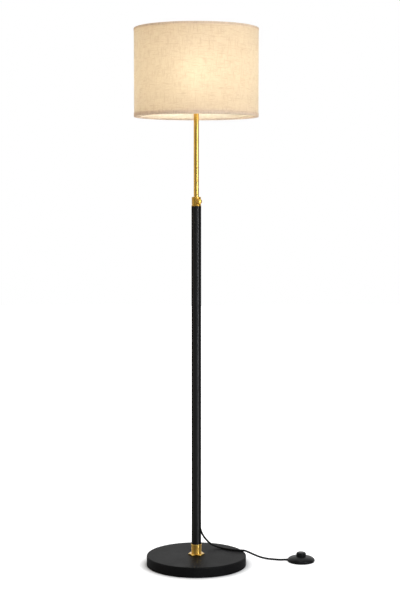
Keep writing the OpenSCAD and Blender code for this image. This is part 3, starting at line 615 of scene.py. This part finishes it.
def linen_drum():
    """The linen as one sheet round the liner, its end lapped over its start at the back."""
    g = Grow("linen drum", [
        ("Radius", "Float", SHADE_R), ("Foot", "Float", CLOTH_Z),
        ("Height", "Float", CLOTH_TOP - CLOTH_Z), ("Cloth Thickness", "Float", CLOTH_T),
        ("Lap Width", "Float", LAP), ("Lap Rise", "Float", LAP_RISE),
        ("Ripple", "Float", CLOTH_RIPPLE), ("Columns", "Int", CLOTH_COLUMNS),
        ("Rows", "Int", CLOTH_ROWS), ("Cloth", "Material", M["linen"]),
        ("Cloth Inside", "Material", M["linen_inside"]),
    ])
    # A flat grid whose UV map is the cloth's own length and height in metres
    grid = g.node("GeometryNodeMeshGrid", {"Size X": 1.0, "Size Y": 1.0,
                                           "Vertices X": g.get("Columns"),
                                           "Vertices Y": g.get("Rows")})
    uv = g.node("ShaderNodeSeparateXYZ", {0: grid.outputs["UV Map"]})
    around = g.math("ADD", g.math("MULTIPLY", g.get("Radius"), 2 * math.pi), g.get("Lap Width"))
    along = g.math("MULTIPLY", uv.outputs[0], around)
    up = g.math("MULTIPLY", uv.outputs[1], g.get("Height"))
    mapped = g.store(grid.outputs["Mesh"], "UVMap", g.xyz(along, up), "FLOAT2", "CORNER")
    # How far the cloth has risen on to its own start
    to_lap = g.math("SUBTRACT", g.math("SUBTRACT", around, along), g.get("Lap Width"))
    ramp = g.node("ShaderNodeMapRange", {"Value": to_lap, "From Min": LAP_RAMP, "From Max": 0.0,
                                         "To Min": 0.0, "To Max": 1.0},
                  interpolation_type="SMOOTHSTEP").outputs[0]
    lapped = g.store(mapped, "lap", ramp, "FLOAT", "POINT")
    # Rolled round the liner, slightly rippled
    turn = g.math("ADD", g.math("DIVIDE", along, g.get("Radius")), LAP_MIDDLE - LAP / SHADE_R / 2)
    cosine, sine = g.math("COSINE", turn), g.math("SINE", turn)
    ripple = g.node("ShaderNodeTexNoise", {"Vector": g.xyz(cosine, sine, up),
                                           "Scale": RIPPLE_SCALE, "Detail": 1.0})
    bulge = g.math("MULTIPLY", g.math("SUBTRACT", ripple.outputs[0], 0.5), g.get("Ripple"))
    radius = g.math("ADD", g.math("ADD", g.get("Radius"), bulge),
                    g.math("MULTIPLY", ramp, g.get("Lap Rise")))
    placed = g.xyz(g.math("MULTIPLY", cosine, radius), g.math("MULTIPLY", sine, radius),
                   g.math("ADD", up, g.get("Foot")))
    sheet = g.node("GeometryNodeSetPosition", {"Geometry": lapped, "Position": placed})
    # Thickened inwards, less where it lies on its own start
    depth = g.node("ShaderNodeMapRange", {"Value": g.stored("lap", "FLOAT"),
                                          "To Min": g.get("Cloth Thickness"),
                                          "To Max": g.get("Lap Rise")})
    inwards = g.node("ShaderNodeVectorMath",
                     {0: g.node("GeometryNodeInputNormal").outputs[0],
                      "Scale": g.math("MULTIPLY", depth.outputs[0], -1.0)}, operation="SCALE")
    wall = g.node("GeometryNodeExtrudeMesh", {"Mesh": sheet.outputs[0],
                                              "Offset": inwards.outputs[0],
                                              "Offset Scale": 1.0, "Individual": False},
                  mode="FACES")
    inside = g.store(wall.outputs["Mesh"], "inside", wall.outputs["Top"], "BOOLEAN", "FACE")
    turned = g.node("GeometryNodeFlipFaces", {"Mesh": inside})
    outer = g.node("GeometryNodeSetShadeSmooth", {"Geometry": sheet.outputs[0],
                                                  "Shade Smooth": True})
    joined = g.node("GeometryNodeJoinGeometry")
    g.wire(turned.outputs[0], joined.inputs[0])
    g.wire(outer.outputs[0], joined.inputs[0])
    closed = g.node("GeometryNodeMergeByDistance", {"Geometry": joined.outputs[0],
                                                    "Distance": WELD})
    cloth = g.node("GeometryNodeSetMaterial", {"Geometry": closed.outputs[0],
                                               "Material": g.get("Cloth")})
    lined = g.node("GeometryNodeSetMaterial", {"Geometry": cloth.outputs[0],
                                               "Selection": g.stored("inside", "BOOLEAN"),
                                               "Material": g.get("Cloth Inside")})
    real = g.node("GeometryNodeRealizeInstances", {"Geometry": lined.outputs[0]})
    g.wire(real.outputs[0], g.end.inputs[0])
    return g.mesh("shade_linen")


drum = piece("shade_linen", linen_drum(), "mast", "shade_fabric")

LINER_OUT, LINER_IN = 0.15185, 0.15145
LINER_STEPS = 360
LINER_SHARP_DEG = 40
LINER_LOOP = [(LINER_OUT, CLOTH_Z), (LINER_OUT, CLOTH_TOP), (LINER_IN, CLOTH_TOP),
              (LINER_IN, CLOTH_Z)]

backing = piece("shade_backing", turned_skin("shade_backing", LINER_LOOP, LINER_STEPS), "mast",
                "shade_liner", [M["styrene"]])
backing.data.set_sharp_from_angle(angle=math.radians(LINER_SHARP_DEG))

TAPE_OUT, TAPE_IN = 0.15305, 0.14765
TAPE_T = 0.0005
TAPE_BELLY = 0.0001
TAPE_FOLD = 0.0011
TAPE_INNER_HEIGHT = 0.0045
TAPE_LAP_RISE = 0.0003
TAPE_LAP_DEG, TAPE_LAP_HALF_DEG = 93, 3
TAPE_UNEVEN = 0.00006
TAPE_FAST_WAVES, TAPE_SLOW_WAVES = 23, 7
TAPE_STEPS = 540
TAPE_SHARP_DEG = 50


def tape_loop(edge, height, up):
    """The section of a tape folded over an edge, from its outer hem to its inner hem and back."""
    outside = [(TAPE_OUT, height), (TAPE_OUT + TAPE_BELLY, height / 2), (TAPE_OUT, TAPE_FOLD)]
    fold = [(TAPE_OUT - 0.25 * TAPE_FOLD, 0.25 * TAPE_FOLD), (TAPE_OUT - TAPE_FOLD, 0.0),
            (TAPE_IN + TAPE_FOLD, 0.0), (TAPE_IN + 0.25 * TAPE_FOLD, 0.25 * TAPE_FOLD)]
    inside = [(TAPE_IN, TAPE_FOLD), (TAPE_IN, TAPE_INNER_HEIGHT),
              (TAPE_IN + TAPE_T, TAPE_INNER_HEIGHT), (TAPE_IN + TAPE_T, TAPE_T),
              (TAPE_OUT - TAPE_T, TAPE_T), (TAPE_OUT - TAPE_T, height)]
    return [(r, edge + up * z) for r, z in outside + fold + inside]


def tape_swell(turn):
    """A tape's end lapped over its start at the back, and a slight unevenness."""
    from_lap = abs(math.degrees(turn) - TAPE_LAP_DEG)
    lap = TAPE_LAP_RISE * max(0.0, min(1.0, TAPE_LAP_HALF_DEG - from_lap))
    waves = math.sin(TAPE_FAST_WAVES * turn) * math.sin(TAPE_SLOW_WAVES * turn + 1)
    return lap + TAPE_UNEVEN * waves


# Name, edge that it folds over, height of its outer side, way from that edge, CAD node
TAPES = (
    ("shade_bottom_tape", 1.11835, 0.009, 1, "shade_bottom_trim"),
    ("shade_top_tape", 1.33335, 0.0055, -1, "shade_top_trim"),
)
for tape_name, edge, height, up, node_name in TAPES:
    skin = turned_skin(tape_name, tape_loop(edge, height, up), TAPE_STEPS, tape_swell)
    piece(tape_name, skin, "mast", node_name, [M["tape"]])
    skin.set_sharp_from_angle(angle=math.radians(TAPE_SHARP_DEG))

# ---------------------------------------------------------------- base pad

PAD_R, PAD_T = 0.1235, 0.002
PAD_LOW_EDGE, PAD_TOP_EDGE = 0.0005, 0.0004
PAD_RING_GAP = 0.02
PAD_RINGS = 6
PAD_STEPS = 180


def foam_disc():
    """The foam pad: a disc with softened edges."""
    rings = [(PAD_RING_GAP * k, 0.0) for k in range(1, PAD_RINGS + 1)]
    rings += [(PAD_R - PAD_LOW_EDGE, 0.0), (PAD_R, PAD_LOW_EDGE),
              (PAD_R, PAD_T - PAD_TOP_EDGE), (PAD_R - PAD_TOP_EDGE, PAD_T)]
    rings += [(PAD_RING_GAP * k, PAD_T) for k in range(PAD_RINGS, 0, -1)]
    turns = [2 * math.pi * s / PAD_STEPS for s in range(PAD_STEPS)]
    disc = bmesh.new()
    low, high = disc.verts.new((0, 0, 0)), disc.verts.new((0, 0, PAD_T))
    loops = [[disc.verts.new((r * math.cos(turn), r * math.sin(turn), z)) for turn in turns]
             for r, z in rings]
    for first, second in zip(loops, loops[1:]):
        for s in range(PAD_STEPS):
            after = (s + 1) % PAD_STEPS
            disc.faces.new((first[s], first[after], second[after], second[s]))
    for s in range(PAD_STEPS):
        after = (s + 1) % PAD_STEPS
        disc.faces.new((low, loops[0][after], loops[0][s]))
        disc.faces.new((high, loops[-1][s], loops[-1][after]))
    bmesh.ops.recalc_face_normals(disc, faces=disc.faces)
    mesh = bpy.data.meshes.new("base_foam")
    disc.to_mesh(mesh)
    disc.free()
    return mesh


pad = piece("base_foam", foam_disc(), "stand", "base_pad", [M["foam"]])

# ---------------------------------------------------------------- floor

FLOOR_HALF = 8.0
FLOOR_DROP = 0.0002
# The floor's own light sets in round the base and grows to full strength further out, so the floor
# round the base is painted darker: a painted shadow
FLOOR_OWN_NEAR = 0.6
FLOOR_NEAR_FROM, FLOOR_NEAR_TO = 0.126, 0.15
FLOOR_FAR_FROM, FLOOR_FAR_TO = 0.2, 0.6
# In the lamp's reflections the floor's light and colour are both darker
FLOOR_MIRRORED = 0.3
FLOOR_MIRRORED_BLACK = 0.7


def floor_finish():
    """White studio floor: its lit colour, and light of its own that grows away from the lamp, so
    that round the base it is painted darker.
    """
    n = Finish("studio_floor")
    where = n.node("ShaderNodeTexCoord").outputs["Object"]
    far = n.node("ShaderNodeVectorMath", {0: where}, operation="LENGTH").outputs["Value"]
    beside = n.spread(far, FLOOR_NEAR_FROM, FLOOR_NEAR_TO, 0.0, FLOOR_OWN_NEAR)
    own = n.math("ADD", beside, n.spread(far, FLOOR_FAR_FROM, FLOOR_FAR_TO, 0.0,
                                         1.0 - FLOOR_OWN_NEAR))
    path = n.node("ShaderNodeLightPath").outputs
    mirrored = n.math("MULTIPLY", path["Is Glossy Ray"], FLOOR_MIRRORED)
    shown = n.math("MAXIMUM", path["Is Camera Ray"], mirrored)
    shown = n.math("MAXIMUM", shown, path["Is Transmission Ray"])
    paper = n.noise(where, scale=40, detail=2)
    tint = n.blend(n.spread(paper, low=0.3, high=0.7), (0.88, 0.88, 0.88), (0.86, 0.86, 0.86))
    tint = n.blend(n.math("MULTIPLY", path["Is Glossy Ray"], FLOOR_MIRRORED_BLACK), tint,
                   (0.0, 0.0, 0.0))
    return n.done(n.shader(tint, roughness=0.9, Specular_IOR_Level=0.0, Emission_Color=WHITE,
                           Emission_Strength=n.math("MULTIPLY", shown, own)))


floor_mesh = bpy.data.meshes.new("floor")
floor_mesh.from_pydata([(-FLOOR_HALF, -FLOOR_HALF, 0), (FLOOR_HALF, -FLOOR_HALF, 0),
                        (FLOOR_HALF, FLOOR_HALF, 0), (-FLOOR_HALF, FLOOR_HALF, 0)],
                       [], [(0, 1, 2, 3)])
floor_mesh.materials.append(floor_finish())
floor = bpy.data.objects.new("floor", floor_mesh)
SCENE.collection.objects.link(floor)
floor.location.z = -FLOOR_DROP

# ---------------------------------------------------------------- lights and world

LIGHTS_AIM = Vector((0, 0, 0.75))


def softbox(name, azimuth, elevation, distance, size, watts, colour=(1, 1, 1)):
    """An area light seen from the lamp at that azimuth, turned from the front to the right."""
    data = bpy.data.lights.new(name, "AREA")
    data.shape = "RECTANGLE"
    data.size, data.size_y = size
    data.energy = watts
    data.color = colour
    light = bpy.data.objects.new(name, data)
    SCENE.collection.objects.link(light)
    a, e = math.radians(azimuth), math.radians(elevation)
    away = Vector((math.sin(a) * math.cos(e), -math.cos(a) * math.cos(e), math.sin(e)))
    light.location = LIGHTS_AIM + distance * away
    light.rotation_mode = "QUATERNION"
    light.rotation_quaternion = (light.location - LIGHTS_AIM).to_track_quat("Z", "Y")


softbox("key", azimuth=44, elevation=8, distance=2.6, size=(0.38, 2.3), watts=34,
        colour=(0.93, 0.96, 1.0))
softbox("front", azimuth=10, elevation=45, distance=2.8, size=(1.2, 1.2), watts=10)
softbox("fill", azimuth=-85, elevation=8, distance=3.0, size=(0.8, 2.3), watts=7,
        colour=(1.0, 0.72, 0.38))
softbox("top", azimuth=20, elevation=78, distance=2.6, size=(0.9, 0.9), watts=8)

WORLD_STRENGTH = 0.58
# What the lamp mirrors is dim on the camera's side, and white behind the lamp and overhead
ROOM_DIM = 0.2
ROOM_RISE = 0.7
ROOM_FROM, ROOM_TO = 0.3, 0.95


def studio_world():
    """White surroundings: plain to the camera, even as light, and a dim room to reflections."""
    world = bpy.data.worlds.new("studio")
    world.use_nodes = True
    n = Tree(world.node_tree)
    n.tree.nodes.clear()
    way = n.node("ShaderNodeSeparateXYZ",
                 {0: n.node("ShaderNodeTexCoord").outputs["Generated"]}).outputs
    overhead = n.node("ShaderNodeMath", {0: way["Z"], 1: ROOM_RISE, 2: way["Y"]},
                      operation="MULTIPLY_ADD")
    rear = n.node("ShaderNodeMapRange", {"Value": overhead.outputs[0], "From Min": ROOM_FROM,
                                         "From Max": ROOM_TO, "To Min": ROOM_DIM, "To Max": 1.0},
                  interpolation_type="SMOOTHSTEP")
    lamp_light = n.node("ShaderNodeBackground", {"Color": WHITE, "Strength": WORLD_STRENGTH})
    mirrored = n.node("ShaderNodeBackground", {"Color": WHITE, "Strength": rear.outputs["Result"]})
    seen = n.node("ShaderNodeBackground", {"Color": WHITE})
    path = n.node("ShaderNodeLightPath").outputs
    lit = n.mix(path["Is Glossy Ray"], lamp_light.outputs[0], mirrored.outputs[0])
    direct = n.math("MAXIMUM", path["Is Camera Ray"], path["Is Transmission Ray"])
    n.node("ShaderNodeOutputWorld", {0: n.mix(direct, lit, seen.outputs[0])})
    return world


SCENE.world = studio_world()
SCENE.view_settings.view_transform = "Standard"
